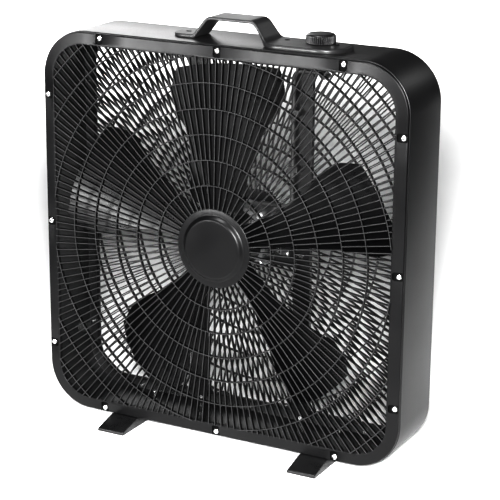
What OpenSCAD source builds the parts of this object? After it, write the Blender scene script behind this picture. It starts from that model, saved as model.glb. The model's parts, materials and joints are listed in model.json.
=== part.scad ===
// Box fan: steel band housing, two moulded grilles, five-blade impeller on an induction motor,
// top handle with a rotary speed knob, and two wedge feet.
// The front faces -Y, X runs to the right and Z is up. The feet stand on Z = 0.

/* [Housing] */
// Outer width and height of the steel band
band_size = 526; // [480:1:560]
// Depth from the front face of the front frame to the back face of the rear frame
body_depth = 105; // [100:1:130]
// Outer corner radius of the steel band
corner_r = 63; // [50:1:75]
// Thickness of the band's sheet steel
sheet_t = 1; // [0.8:0.1:1.5]
// Width of the band's inward flanges
flange_w = 13; // [12:0.5:14]
// Height of the band above the surface that the feet stand on
foot_h = 13; // [10:0.5:20]

/* [Grilles] */
// Width of the flat rim around each grille opening, from the frame's outer edge
rim_w = 16.5; // [16:0.5:18]
// Corner radius of the grille opening
opening_r = 46; // [36:1:50]
// Thickness of the front frame's rim
front_rim_t = 6; // [6:0.5:8]
// Thickness of the rear frame's rim
rear_rim_t = 3; // [3:0.5:4]
// Radius of the innermost ring
first_ring_r = 82.8; // [75:0.1:90]
// Distance from one ring to the next
ring_pitch = 33.2; // [30:0.1:34]
// Width of a ring and of a rib
bar_w = 1.6; // [1.2:0.1:2.2]
// Depth of a rib along the air flow
bar_depth = 5; // [4:0.5:6]
// How far the grille stands proud of its rim at the hub plate
dome_rise = 6.5; // [4:0.5:8]
// Radius of the round hub plate in the middle of a grille
hub_plate_r = 53; // [48:1:60]
// Radius of the raised boss on the hub plate
hub_boss_r = 44; // [38:1:46]

/* [Impeller] */
// Tip radius of the blades
blade_tip_r = 236; // [220:1:238]
// Pitch angle of a blade at its middle
blade_pitch = 22; // [18:1:24]
// Thickness of a blade
blade_t = 2.2; // [1.8:0.1:2.6]
// Radius of the impeller's hub
impeller_hub_r = 40; // [36:0.5:40]

/* [Handle and knob] */
// Height of the grip's top above the band
grip_h = 29.5; // [28:0.5:36]
// Thickness of the handle's strap
strap_t = 4.2; // [3.5:0.1:5]
// Thickness of the control plate
plate_t = 6; // [4.5:0.5:6.5]
// Depth of the strap from front to back
strap_depth = 42; // [36:1:46]
// How far the control plate reaches in front of the fan's middle
panel_reach = 40; // [34:1:46]
// Radius of the knob
knob_r = 18.9; // [16:0.1:20]
// Height of the knob
knob_h = 12.2; // [11:0.1:14]

/* [Feet] */
// Distance of each foot's middle from the middle of the fan
foot_x = 144; // [120:1:160]
// Width of a foot
foot_w = 40; // [32:1:44]
// How far a foot reaches past the front and back faces
foot_reach = 34; // [25:1:45]

/* [Hidden] */
round_fn = 96;

// Frame: the fan's axis and the main planes. Depths are measured back from the front face.
axis_z = foot_h + band_size / 2;
band_top = foot_h + band_size;
frame_size = band_size - 2;
frame_r = corner_r - 1;
opening_half = frame_size / 2 - rim_w;
band_front = front_rim_t;
band_back = body_depth - rear_rim_t;
cut = 1;

// Grille bars: radii where the rib count changes, and the counts between them.
ring_count = 8;
zone_r = [hub_plate_r - 1, first_ring_r, first_ring_r + ring_pitch, first_ring_r + 3 * ring_pitch,
    first_ring_r + 5 * ring_pitch];
zone_ribs = [54, 74, 118, 160, 208];
whole_rings = 5;
rib_set_back = 0.5;
rim_bite = 2;
rim_rise = 2.5;
hub_plate_t = 3;
boss_h = 5;

// Fasteners.
screw_side = [-1, 0, 1];
screw_pitch = 174.5;
screw_inset = 5.6;
screw_head_r = 4;
screw_head_h = 2.6;
screw_r = 1.75;
pocket_w = 11;
pocket_l = 13.5;
pocket_margin = 0.5;
pocket_inner_r = 3;
pocket_outer_r = 1.5;
front_pocket_depth = 3;
rear_pocket_depth = 1.2;
front_screw_l = 10;
rear_screw_l = 9;

// Motor: depths of its parts and radii.
motor_r = 43;
bolt_circle_r = 46.5;
bolt_r = 2;
ear_r = 5.4;
front_bell_y = 58;
core_y = 68;
rear_bell_y = 80;
mount_y = 91;
mount_t = 1.5;
bell_t = 3;
bearing_r = 8;
bearing_seat_r = 11;
shaft_r = 4;
running_gap = 0.05;
bearing_l = 7;
bearing_boss_l = 8;
washer_r = 7.5;
washer_gap = 0.2;
vent_count = 8;
vent_circle_r = 25;
vent_r = 4;
small_head_r = 3.4;
small_head_h = 2.2;
bolt_head_r = 3.6;
bolt_head_h = 2.6;
bolt_nut_r = 4;
bolt_nut_h = 3.2;
bolt_tail = 5;
rotor_r = 23;
ring_r = 15;
ring_h = 2.5;
air_gap = 0.4;
slot_count = 12;
slot_w = 4;
winding_r0 = 27;
winding_r1 = 36;

// Rails that carry the motor.
rail_x = 78;
rail_w = 25;
rail_t = 1.2;
rail_y = mount_y + mount_t;
rail_gap = 0.5;
rail_back = band_back - sheet_t;
plate_screw_z = 25;

// Impeller.
blade_count = 5;
blade_mid_y = 29;
camber_r = 220;
hub_front_y = 22;
hub_back_y = 52;
hub_wall = 3;

// Handle outline, with heights above the band's top.
leg_angle = 51;
leg_mid_x = -40;
leg_mid_h = 20;
grip_mid_x = 1.8;
grip_corner_r = 14;
opening_corner_r = 9;
leg_foot_r = 12;
pad_t = 4.5;
pad_end_x = -86;
pad_corner_r = 18;
plate_edge_r = 1.5;
flare_start_x = 46;
flare_end_x = 68;
flare_r = 24;
panel_end_x = 161;
panel_corner_r = 28;
handle_screw_x = [-69.4, 72.8, 142.2];
handle_hole_r = 3.6;
handle_seat_h = 1.5;
nut_recess_r = 9.5;
nut_recess_h = 2.8;
drill_reach = 3;

// Switch and knob.
knob_x = 119.5;
knob_gap = 0.6;
spindle_r = 3;
bushing_r = 4.8;
bushing_gap = 0.3;
spindle_below = 12;
spindle_above = 9;
terminal_x = [-12, -7, 7, 12];
terminal_t = 0.8;
terminal_w = 6.4;
terminal_h = 7;
switch_w = 32;
switch_d = 26;
switch_h = 18;
ridge_count = 42;
ridge_h = 1.2;
ridge_w = 1.4;
knob_edge_h = 3;

// Foot screws.
foot_screw_y = 30;
foot_screw_seat = 4;
foot_counterbore_r = 4.2;
foot_tip_h = 4.5;

// Cord inlet in the left wall.
inlet_y = 25;
inlet_z = 100;
inlet_r = 7;
inlet_bore_r = 3.6;

// Motor lead, a sheathed bundle of straight stretches and quarter bends.
lead_r = 3;
bend_r = 12;
lead_y = 86.5;
lead_x = 66;
lead_z = axis_z + 42;
lead_turn_z = band_top - 39;

// Capacitor beside the motor, held to the motor plate by a strap.
cap_x = 55.5;
cap_w = 14;
cap_h = 36;
cap_d = 26;
clip_t = 0.8;
clip_w = 10;
clip_foot_z = 25;

// Y of a plane that lies d behind the front face.
function from_front(d) = d - body_depth / 2;

// Unit vector from a to b.
function toward(a, b) = (b - a) / norm(b - a);

// Points of the arc that rounds the corner b of the path a, b, c with radius r.
function corner(a, b, c, r, n = 6) =
    let (
        u = toward(b, a),
        v = toward(b, c),
        half = acos(u * v) / 2,
        centre = b + toward([0, 0], u + v) * r / sin(half),
        start = b + u * r / tan(half) - centre,
        finish = b + v * r / tan(half) - centre,
        a0 = atan2(start.y, start.x),
        turn = atan2(start.x * finish.y - start.y * finish.x, start * finish)
    )
    [for (i = [0 : n]) centre + r * [cos(a0 + turn * i / n), sin(a0 + turn * i / n)]];

// A closed outline whose vertices are [x, y, radius]; a radius of 0 keeps the corner sharp.
function rounded_outline(v) =
    let (last = len(v))
    [for (i = [0 : last - 1])
        let (
            a = v[(i + last - 1) % last],
            b = v[i],
            c = v[(i + 1) % last]
        )
        each (b[2] > 0 ? corner([a.x, a.y], [b.x, b.y], [c.x, c.y], b[2]) : [[b.x, b.y]])];

// Distance from the axis to the edge of the rounded square opening, at angle a from straight up.
function reach(a) =
    let (
        straight = opening_half - opening_r,
        big = max(abs(sin(a)), abs(cos(a))),
        small = min(abs(sin(a)), abs(cos(a))),
        mid = straight * (big + small)
    )
    (opening_half * small / big <= straight)
        ? opening_half / big
        : mid + sqrt(mid * mid - 2 * straight * straight + opening_r * opening_r);

// How far the grille's face stands proud of the rim at radius r.
function proud(r) = rim_rise + (dome_rise - rim_rise) * (opening_half - r) / (opening_half - hub_plate_r);

// Cylinder along Y between two depths.
module disc(r, y0, y1) {
    translate([0, from_front(y1), 0])
        rotate([90, 0, 0])
            cylinder(r = r, h = y1 - y0, $fn = round_fn);
}

// Ring along Y between two depths.
module tube(r_out, r_in, y0, y1) {
    difference() {
        disc(r_out, y0, y1);
        disc(r_in, y0 - cut, y1 + cut);
    }
}

// Square block with rounded corners in the XZ plane, between two depths.
module rounded_block(size, r, y0, y1) {
    side = size - 2 * r;
    for (x = [-1, 1], z = [-1, 1])
        translate([x * side / 2, 0, z * side / 2])
            disc(r, y0, y1);
    translate([-size / 2, from_front(y0), -side / 2])
        cube([size, y1 - y0, side]);
    translate([-side / 2, from_front(y0), -size / 2])
        cube([side, y1 - y0, size]);
}

// Puts its children at the twelve frame screws, with +Z pointing out of the nearest edge.
module at_frame_screws() {
    for (side = [0 : 3], place = screw_side)
        rotate([0, 90 * side, 0])
            translate([place * screw_pitch, 0, frame_size / 2 - screw_inset])
                children();
}

// Sheet-metal screw along Y: the head's back is at depth y, and the shank runs inward.
module frame_screw(y, inward, length) {
    head = [y - inward * screw_head_h, y];
    shank = [y, y + inward * length];
    disc(screw_head_r, min(head), max(head));
    disc(screw_r, min(shank), max(shank));
}

// Shallow rectangular pocket with rounded corners around a frame screw.
module screw_pocket(y0, y1) {
    w = pocket_w / 2;
    top = screw_inset - pocket_margin;
    low = top - pocket_l;
    translate([0, from_front(y1), 0])
        rotate([90, 0, 0])
            linear_extrude(y1 - y0)
                polygon(rounded_outline([
                    [-w, low, pocket_inner_r], [w, low, pocket_inner_r],
                    [w, top, pocket_outer_r], [-w, top, pocket_outer_r]
                ]));
}

// One rib on the grille's cone, from radius r0 to r1, at angle a from straight up.
module rib(a, r0, r1) {
    slope = atan2(proud(r0) - proud(r1), r1 - r0);
    rotate([0, a, 0])
        translate([0, from_front(0) - proud(r0) + rib_set_back, r0])
            rotate([-slope, 0, 0])
                translate([-bar_w / 2, 0, 0])
                    cube([bar_w, bar_depth - rib_set_back, (r1 - r0) / cos(slope)]);
}

// One concentric ring of the grille.
module grille_ring(r) {
    tube(r + bar_w / 2, r - bar_w / 2, -proud(r), bar_depth - proud(r));
}

// A moulded grille with its front face towards -Y: frame, rings, ribs and hub plate in one piece.
module grille(rim_t, pocket_depth) {
    difference() {
        rounded_block(frame_size, frame_r, 0, rim_t);
        rounded_block(2 * opening_half, opening_r, -cut, rim_t + cut);
        at_frame_screws() {
            screw_pocket(-cut, pocket_depth);
            disc(screw_r, -cut, rim_t + cut);
        }
    }
    for (i = [0 : whole_rings - 1])
        grille_ring(first_ring_r + i * ring_pitch);
    intersection() {
        keep = opening_half + rim_bite / 2;
        translate([-keep, from_front(-2 * dome_rise), -keep])
            cube([2 * keep, 4 * dome_rise, 2 * keep]);
        union()
            for (i = [whole_rings : ring_count - 1])
                grille_ring(first_ring_r + i * ring_pitch);
    }
    for (zone = [0 : 3], i = [0 : zone_ribs[zone] - 1]) {
        a = i * 360 / zone_ribs[zone];
        rib(a, zone_r[zone], min(zone_r[zone + 1], reach(a) + rim_bite));
    }
    for (i = [0 : zone_ribs[4] - 1]) {
        a = (i + 0.5) * 360 / zone_ribs[4];
        if (reach(a) > zone_r[4] + rim_bite)
            rib(a, zone_r[4], reach(a) + rim_bite);
    }
    disc(hub_plate_r, -dome_rise, hub_plate_t - dome_rise);
    disc(hub_boss_r, -dome_rise - boss_h, hub_plate_t / 2 - dome_rise);
}

module front_grille() {
    color("#2b2b2d")
        translate([0, 0, axis_z])
            grille(front_rim_t, front_pocket_depth);
}

module rear_grille() {
    color("#2b2b2d")
        translate([0, 0, axis_z])
            mirror([0, 1, 0])
                grille(rear_rim_t, rear_pocket_depth);
}

module front_screws() {
    color("#c9ccd0")
        translate([0, 0, axis_z])
            at_frame_screws()
                frame_screw(front_pocket_depth, 1, front_screw_l);
}

module rear_screws() {
    color("#c9ccd0")
        translate([0, 0, axis_z])
            at_frame_screws()
                frame_screw(body_depth - rear_pocket_depth, -1, rear_screw_l);
}

module housing_shell() {
    color("#3a3a3d")
        difference() {
            translate([0, 0, axis_z])
                difference() {
                    rounded_block(band_size, corner_r, band_front, band_back);
                    rounded_block(band_size - 2 * sheet_t, corner_r - sheet_t,
                        band_front + sheet_t, band_back - sheet_t);
                    rounded_block(band_size - 2 * flange_w, corner_r - flange_w,
                        band_front - cut, band_back + cut);
                    at_frame_screws()
                        disc(screw_r, band_front - cut, band_back + cut);
                    for (x = [-rail_x, rail_x], z = [-1, 1])
                        translate([x, 0, z * (band_size / 2 - flange_w / 2)])
                            disc(screw_r, band_back - 2 * sheet_t, band_back + cut);
                }
            for (x = handle_screw_x)
                translate([x, 0, band_top - drill_reach])
                    cylinder(r = screw_r, h = 2 * drill_reach, $fn = 48);
            translate([knob_x, 0, band_top - drill_reach])
                cylinder(r = bushing_r, h = 2 * drill_reach, $fn = 48);
            for (x = [-foot_x, foot_x], y = [-foot_screw_y, foot_screw_y])
                translate([x, y, foot_h - drill_reach])
                    cylinder(r = screw_r, h = 2 * drill_reach, $fn = 48);
            translate([-band_size / 2 - drill_reach, inlet_y, inlet_z])
                rotate([0, 90, 0])
                    cylinder(r = inlet_r, h = 2 * drill_reach, $fn = 48);
        }
}

// Side view of the handle: pad, strap and control plate, as heights above the band.
module handle_side() {
    rise = tan(leg_angle);
    inner_shift = strap_t / sin(leg_angle);
    outer_x = [for (h = [pad_t, plate_t, grip_h]) leg_mid_x + (h - leg_mid_h) / rise];
    inner_x = [for (h = [0, grip_h - strap_t]) leg_mid_x + inner_shift + (h - leg_mid_h) / rise];
    across = 2 * grip_mid_x;
    polygon(rounded_outline([
        [pad_end_x, 0, 0],
        [pad_end_x, pad_t, plate_edge_r],
        [outer_x[0], pad_t, leg_foot_r],
        [outer_x[2], grip_h, grip_corner_r],
        [across - outer_x[2], grip_h, grip_corner_r],
        [across - outer_x[1], plate_t, leg_foot_r],
        [panel_end_x, plate_t, plate_edge_r],
        [panel_end_x, 0, 0],
        [across - inner_x[0], 0, 0],
        [across - inner_x[1], grip_h - strap_t, opening_corner_r],
        [inner_x[1], grip_h - strap_t, opening_corner_r],
        [inner_x[0], 0, 0]
    ]));
}

// Plan of the handle: straight back edge, round-ended pad, front edge flaring into the control plate.
module handle_plan() {
    s = strap_depth / 2;
    polygon(rounded_outline([
        [pad_end_x, -s, pad_corner_r],
        [flare_start_x, -s, flare_r],
        [flare_end_x, -panel_reach, flare_r],
        [panel_end_x, -panel_reach, panel_corner_r],
        [panel_end_x, s, pad_corner_r],
        [pad_end_x, s, pad_corner_r]
    ]));
}

module handle() {
    color("#333335")
        translate([0, 0, band_top])
            difference() {
                intersection() {
                    translate([0, 2 * panel_reach, 0])
                        rotate([90, 0, 0])
                            linear_extrude(4 * panel_reach)
                                handle_side();
                    linear_extrude(2 * grip_h)
                        handle_plan();
                }
                for (x = handle_screw_x)
                    translate([x, 0, 0]) {
                        translate([0, 0, -cut])
                            cylinder(r = screw_r, h = plate_t + 2 * cut, $fn = 48);
                        translate([0, 0, handle_seat_h])
                            cylinder(r = handle_hole_r, h = grip_h / 2, $fn = 48);
                    }
                translate([knob_x, 0, -cut])
                    cylinder(r = nut_recess_r, h = cut + nut_recess_h, $fn = 48);
                translate([knob_x, 0, -cut])
                    cylinder(r = bushing_r + bushing_gap, h = plate_t + 2 * cut, $fn = 48);
            }
}

// Screw pointing down, with the underside of its head at the origin.
module down_screw(head_r, head_h, r, length) {
    cylinder(r = head_r, h = head_h, $fn = 48);
    translate([0, 0, -length])
        cylinder(r = r, h = length, $fn = 48);
}

module handle_screws() {
    color("#3c3c3e")
        for (x = handle_screw_x)
            translate([x, 0, band_top + handle_seat_h])
                down_screw(handle_hole_r - 0.4, 1.6, screw_r, 10);
}

module knob() {
    base = band_top + plate_t + knob_gap;
    color("#303032")
        translate([knob_x, 0, base])
            difference() {
                union() {
                    cylinder(r = knob_r - ridge_h / 2, h = knob_h - knob_edge_h / 2, $fn = round_fn);
                    translate([0, 0, knob_h - knob_edge_h])
                        cylinder(r = knob_r - ridge_h, h = knob_edge_h, $fn = round_fn);
                    for (i = [0 : ridge_count - 1])
                        rotate([0, 0, i * 360 / ridge_count])
                            translate([knob_r - ridge_h, -ridge_w / 2, 0])
                                cube([ridge_h, ridge_w, knob_h - knob_edge_h]);
                }
                translate([0, 0, -cut])
                    cylinder(r = spindle_r, h = cut + spindle_above, $fn = 48);
            }
}

module switch_spindle() {
    color("#d8d4c8")
        translate([knob_x, 0, band_top - sheet_t - spindle_below])
            cylinder(r = spindle_r, h = sheet_t + spindle_below + plate_t + knob_gap + spindle_above, $fn = 48);
}

module switch_body() {
    z0 = band_top - sheet_t - switch_h;
    color("#1d1d1f")
        difference() {
            union() {
                translate([knob_x - switch_w / 2, -switch_d / 2, z0])
                    cube([switch_w, switch_d, switch_h]);
                translate([knob_x, 0, z0 + switch_h - cut])
                    cylinder(r = bushing_r, h = cut + sheet_t + plate_t - 0.5, $fn = 48);
            }
            translate([knob_x, 0, band_top - sheet_t - spindle_below - cut])
                cylinder(r = spindle_r + running_gap, h = 2 * switch_h, $fn = 48);
        }
}

module switch_nut() {
    color("#c9ccd0")
        translate([knob_x, 0, band_top])
            difference() {
                cylinder(r = 8.2, h = 2.3, $fn = 6);
                translate([0, 0, -cut])
                    cylinder(r = bushing_r, h = 5, $fn = 48);
            }
}

module switch_terminals() {
    terminal_z = band_top - sheet_t - switch_h - terminal_h;
    color("#c8a55a")
        for (x = terminal_x)
            translate([knob_x + x - terminal_t / 2, -terminal_w / 2, terminal_z])
                cube([terminal_t, terminal_w, terminal_h]);
}

module foot() {
    tip = body_depth / 2 + foot_reach;
    shoulder = body_depth / 2 - 1;
    difference() {
        translate([-foot_w / 2, 0, 0])
            rotate([90, 0, 90])
                linear_extrude(foot_w)
                    polygon(rounded_outline([
                        [-tip, 0, 1],
                        [tip, 0, 1],
                        [tip, foot_tip_h, 2],
                        [shoulder, foot_h, 0],
                        [-shoulder, foot_h, 0],
                        [-tip, foot_tip_h, 2]
                    ]));
        for (y = [-foot_screw_y, foot_screw_y])
            translate([0, y, -cut]) {
                cylinder(r = foot_counterbore_r, h = cut + foot_h - foot_screw_seat, $fn = 48);
                cylinder(r = screw_r, h = foot_h + 2 * cut, $fn = 48);
            }
    }
}

module left_foot() {
    color("#1f1f21")
        translate([-foot_x, 0, 0])
            foot();
}

module right_foot() {
    color("#1f1f21")
        translate([foot_x, 0, 0])
            foot();
}

module foot_screws() {
    color("#c9ccd0")
        for (x = [-foot_x, foot_x], y = [-foot_screw_y, foot_screw_y])
            translate([x, y, foot_h - foot_screw_seat])
                rotate([180, 0, 0])
                    down_screw(3.8, 2.4, screw_r, 12);
}

// Pressed channel that runs from the bottom flange to the top flange.
module rail() {
    z0 = foot_h + sheet_t + rail_gap;
    length = band_size - 2 * (sheet_t + rail_gap);
    depth = rail_back - rail_y;
    tab = flange_w - sheet_t - rail_gap;
    difference() {
        union() {
            difference() {
                translate([-rail_w / 2, from_front(rail_y), z0])
                    cube([rail_w, depth - 2, length]);
                translate([-rail_w / 2 + rail_t, from_front(rail_y + rail_t), z0 + tab])
                    cube([rail_w - 2 * rail_t, depth, length - 2 * tab]);
                for (z = [z0 - cut, z0 + length - tab + rail_t])
                    translate([-rail_w, from_front(rail_y - cut), z])
                        cube([2 * rail_w, rail_back - rail_y, tab - rail_t + cut]);
            }
            for (z = [z0, z0 + length - tab])
                translate([-rail_w / 2, from_front(rail_back - rail_t), z])
                    cube([rail_w, rail_t, tab]);
            for (z = [z0 + tab - rail_t, z0 + length - tab])
                translate([-rail_w / 2, from_front(rail_y), z])
                    cube([rail_w, depth, rail_t]);
        }
        translate([0, 0, axis_z]) {
            for (z = [-1, 1]) {
                translate([0, 0, z * (band_size / 2 - flange_w / 2)])
                    disc(screw_r, rail_back - 2 * rail_t, rail_back + cut);
                translate([0, 0, z * plate_screw_z])
                    disc(screw_r, rail_y - cut, rail_y + 2 * rail_t);
            }
        }
    }
}

module left_rail() {
    color("#262628")
        translate([-rail_x, 0, 0])
            rail();
}

module right_rail() {
    color("#262628")
        translate([rail_x, 0, 0])
            rail();
}

module rail_screws() {
    color("#c9ccd0")
        translate([0, 0, axis_z])
            for (x = [-rail_x, rail_x], z = [-1, 1])
                translate([x, 0, z * (band_size / 2 - flange_w / 2)]) {
                    disc(small_head_r, rail_back - rail_t - small_head_h, rail_back - rail_t);
                    disc(screw_r, rail_back - rail_t, band_back);
                }
}

// Puts its children at the motor's four through bolts.
module at_bolts() {
    for (i = [0 : 3])
        rotate([0, 45 + 90 * i, 0])
            translate([0, 0, bolt_circle_r])
                children();
}

module motor_plate() {
    w = 2 * rail_x + rail_w;
    h = 84;
    color("#6d6f72")
        translate([0, 0, axis_z])
            difference() {
                translate([0, from_front(mount_y + mount_t), 0])
                    rotate([90, 0, 0])
                        linear_extrude(mount_t)
                            polygon(rounded_outline([
                                [-w / 2, -h / 2, 8], [w / 2, -h / 2, 8], [w / 2, h / 2, 8], [-w / 2, h / 2, 8]
                            ]));
                disc(bearing_seat_r + 1, mount_y - cut, mount_y + mount_t + cut);
                at_bolts()
                    disc(bolt_r, mount_y - cut, mount_y + mount_t + cut);
                for (x = [-rail_x, rail_x], z = [-plate_screw_z, plate_screw_z])
                    translate([x, 0, z])
                        disc(screw_r, mount_y - cut, mount_y + mount_t + cut);
                for (z = [-clip_foot_z, clip_foot_z])
                    translate([cap_x, 0, z])
                        disc(screw_r, mount_y - cut, mount_y + mount_t + cut);
            }
}

module plate_screws() {
    color("#c9ccd0")
        translate([0, 0, axis_z]) {
            for (x = [-rail_x, rail_x], z = [-plate_screw_z, plate_screw_z])
                translate([x, 0, z]) {
                    disc(small_head_r, mount_y - small_head_h, mount_y);
                    disc(screw_r, mount_y, rail_y + 5);
                }
            for (z = [-clip_foot_z, clip_foot_z])
                translate([cap_x, 0, z]) {
                    disc(3, mount_y - clip_t - 2, mount_y - clip_t);
                    disc(screw_r, mount_y - clip_t, mount_y + 5);
                }
        }
}

// Cup-shaped end cover: open side at y_open, closed side at y_closed, bearing boss in the middle.
module bell(y_closed, y_open) {
    inward = y_open > y_closed ? 1 : -1;
    wall = [y_closed, y_open];
    hollow = [y_closed + inward * bell_t, y_open + inward * cut];
    difference() {
        union() {
            difference() {
                union() {
                    disc(motor_r, min(wall), max(wall));
                    at_bolts()
                        disc(ear_r, min(wall), max(wall));
                }
                disc(motor_r - bell_t, min(hollow), max(hollow));
            }
            boss = [y_closed, y_closed + inward * bearing_boss_l];
            disc(bearing_seat_r, min(boss), max(boss));
        }
        disc(bearing_r, min(wall) - cut, max(wall) + cut);
        at_bolts()
            disc(bolt_r, min(wall) - cut, max(wall) + cut);
        for (i = [0 : vent_count - 1])
            rotate([0, (i + 0.5) * 360 / vent_count, 0])
                translate([0, 0, vent_circle_r])
                    disc(vent_r, min(wall) - cut, max(wall) + cut);
    }
}

module motor_front_bell() {
    color("#8b8d90")
        translate([0, 0, axis_z])
            bell(front_bell_y, core_y);
}

module motor_rear_bell() {
    color("#8b8d90")
        translate([0, 0, axis_z])
            bell(mount_y, rear_bell_y);
}

module slot_bars(y0, y1) {
    for (i = [0 : slot_count - 1])
        rotate([0, i * 360 / slot_count, 0])
            translate([-slot_w / 2, from_front(y0), winding_r0])
                cube([slot_w, y1 - y0, 7]);
}

module stator_core() {
    color("#55585c")
        translate([0, 0, axis_z])
            difference() {
                union() {
                    disc(motor_r, core_y, rear_bell_y);
                    at_bolts()
                        disc(ear_r, core_y, rear_bell_y);
                }
                disc(rotor_r + air_gap, core_y - cut, rear_bell_y + cut);
                slot_bars(core_y - cut, rear_bell_y + cut);
                at_bolts()
                    disc(bolt_r, core_y - cut, rear_bell_y + cut);
            }
}

module stator_windings() {
    color("#b06a3a")
        translate([0, 0, axis_z]) {
            slot_bars(core_y - 1, rear_bell_y + 1);
            tube(winding_r1, winding_r0, core_y - 6, core_y);
            tube(winding_r1, winding_r0, rear_bell_y, rear_bell_y + 6);
        }
}

module motor_rotor() {
    color("#7c7f83")
        translate([0, 0, axis_z]) {
            tube(rotor_r, shaft_r, core_y, rear_bell_y);
            tube(rotor_r - 1, ring_r, core_y - ring_h, core_y);
            tube(rotor_r - 1, ring_r, rear_bell_y, rear_bell_y + ring_h);
        }
}

module motor_shaft() {
    color("#d4d6d9")
        translate([0, 0, axis_z])
            disc(shaft_r, hub_front_y - 6, mount_y - 0.5);
}

module front_bearing() {
    color("#b58b52")
        translate([0, 0, axis_z])
            tube(bearing_r, shaft_r + running_gap, front_bell_y, front_bell_y + bearing_l);
}

module rear_bearing() {
    color("#b58b52")
        translate([0, 0, axis_z])
            tube(bearing_r, shaft_r + running_gap, mount_y - bearing_l, mount_y);
}

module thrust_washers() {
    color("#e6e2d6")
        translate([0, 0, axis_z]) {
            tube(washer_r, shaft_r, front_bell_y + bearing_l + washer_gap, front_bell_y + bearing_boss_l);
            tube(washer_r, shaft_r, mount_y - bearing_boss_l, mount_y - bearing_l - washer_gap);
        }
}

module through_bolts() {
    color("#c9ccd0")
        translate([0, 0, axis_z])
            at_bolts() {
                disc(bolt_head_r, front_bell_y - bolt_head_h, front_bell_y);
                disc(bolt_r, front_bell_y, mount_y + mount_t + bolt_tail);
            }
}

module bolt_nuts() {
    color("#c9ccd0")
        translate([0, 0, axis_z])
            at_bolts()
                difference() {
                    translate([0, from_front(mount_y + mount_t + bolt_nut_h), 0])
                        rotate([90, 0, 0])
                            cylinder(r = bolt_nut_r, h = bolt_nut_h, $fn = 6);
                    disc(bolt_r, mount_y, mount_y + mount_t + bolt_tail);
                }
}

// Plan of a blade that points straight up: narrow root, broad rounded tip.
module blade_plan() {
    tip = blade_tip_r + 12;
    polygon(rounded_outline([
        [-18, impeller_hub_r - 3, 0],
        [18, impeller_hub_r - 3, 0],
        [25, 92, 60],
        [40, 142, 60],
        [64, 194, 40],
        [54, tip, 30],
        [-60, tip, 34],
        [-76, 188, 44],
        [-42, 136, 70],
        [-25, 92, 60]
    ]));
}

// One blade: a curved plate of constant camber, pitched, and cut to the plan.
module blade() {
    intersection() {
        translate([0, from_front(90), 0])
            rotate([90, 0, 0])
                linear_extrude(90)
                    blade_plan();
        disc(blade_tip_r, 0, 90);
        translate([-camber_r * sin(blade_pitch), from_front(blade_mid_y) + camber_r * cos(blade_pitch), 0])
            difference() {
                cylinder(r = camber_r + blade_t / 2, h = blade_tip_r + cut, $fn = 256);
                translate([0, 0, -cut])
                    cylinder(r = camber_r - blade_t / 2, h = blade_tip_r + 3 * cut, $fn = 256);
            }
    }
}

module fan_blade() {
    color("#2e3033")
        translate([0, 0, axis_z])
            difference() {
                union() {
                    tube(impeller_hub_r, impeller_hub_r - hub_wall, hub_front_y, hub_back_y);
                    disc(impeller_hub_r, hub_front_y, hub_front_y + 4);
                    disc(10, hub_front_y, hub_back_y - 4);
                    for (i = [0 : blade_count - 1])
                        rotate([0, 36 + i * 360 / blade_count, 0])
                            translate([-1, from_front(hub_front_y + 2), 8])
                                cube([2, 20, impeller_hub_r - 10]);
                    for (i = [0 : blade_count - 1])
                        rotate([0, i * 360 / blade_count, 0])
                            blade();
                }
                disc(shaft_r, hub_front_y - cut, hub_back_y + cut);
            }
}

module blade_nut() {
    color("#26262a")
        translate([0, 0, axis_z])
            difference() {
                union() {
                    disc(12, hub_front_y - 4, hub_front_y);
                    translate([0, from_front(hub_front_y - 4), 0])
                        rotate([90, 0, 0])
                            cylinder(r = 8.5, h = 5, $fn = 6);
                }
                disc(shaft_r, hub_front_y - 6, hub_front_y + cut);
            }
}

module capacitor() {
    color("#e4e4e0")
        translate([cap_x - cap_w / 2, from_front(mount_y - cap_d), axis_z - cap_h / 2])
            cube([cap_w, cap_d, cap_h]);
}

module capacitor_clip() {
    half = cap_h / 2;
    end = clip_foot_z + 5;
    color("#a9acb0")
        translate([cap_x, 0, axis_z])
            difference() {
                union() {
                    difference() {
                        translate([-clip_w / 2, from_front(mount_y - cap_d - clip_t), -half - clip_t])
                            cube([clip_w, cap_d + clip_t, cap_h + 2 * clip_t]);
                        translate([-clip_w, from_front(mount_y - cap_d), -half])
                            cube([2 * clip_w, cap_d + cut, cap_h]);
                    }
                    for (z = [-end, half])
                        translate([-clip_w / 2, from_front(mount_y - clip_t), z])
                            cube([clip_w, clip_t, end - half]);
                }
                for (z = [-clip_foot_z, clip_foot_z])
                    translate([0, 0, z])
                        disc(screw_r, mount_y - 2 * clip_t, mount_y + cut);
            }
}

// Quarter bend of the lead. It starts at the origin heading +X and turns up to +Z.
module quarter_bend() {
    translate([0, 0, bend_r])
        rotate([90, 0, 0])
            rotate([0, 0, -90])
                rotate_extrude(angle = 90, $fn = round_fn)
                    translate([bend_r, 0])
                        circle(r = lead_r, $fn = 24);
}

// Straight stretch of the lead along +Z.
module lead_run(length) {
    cylinder(r = lead_r, h = length, $fn = 24);
}

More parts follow.
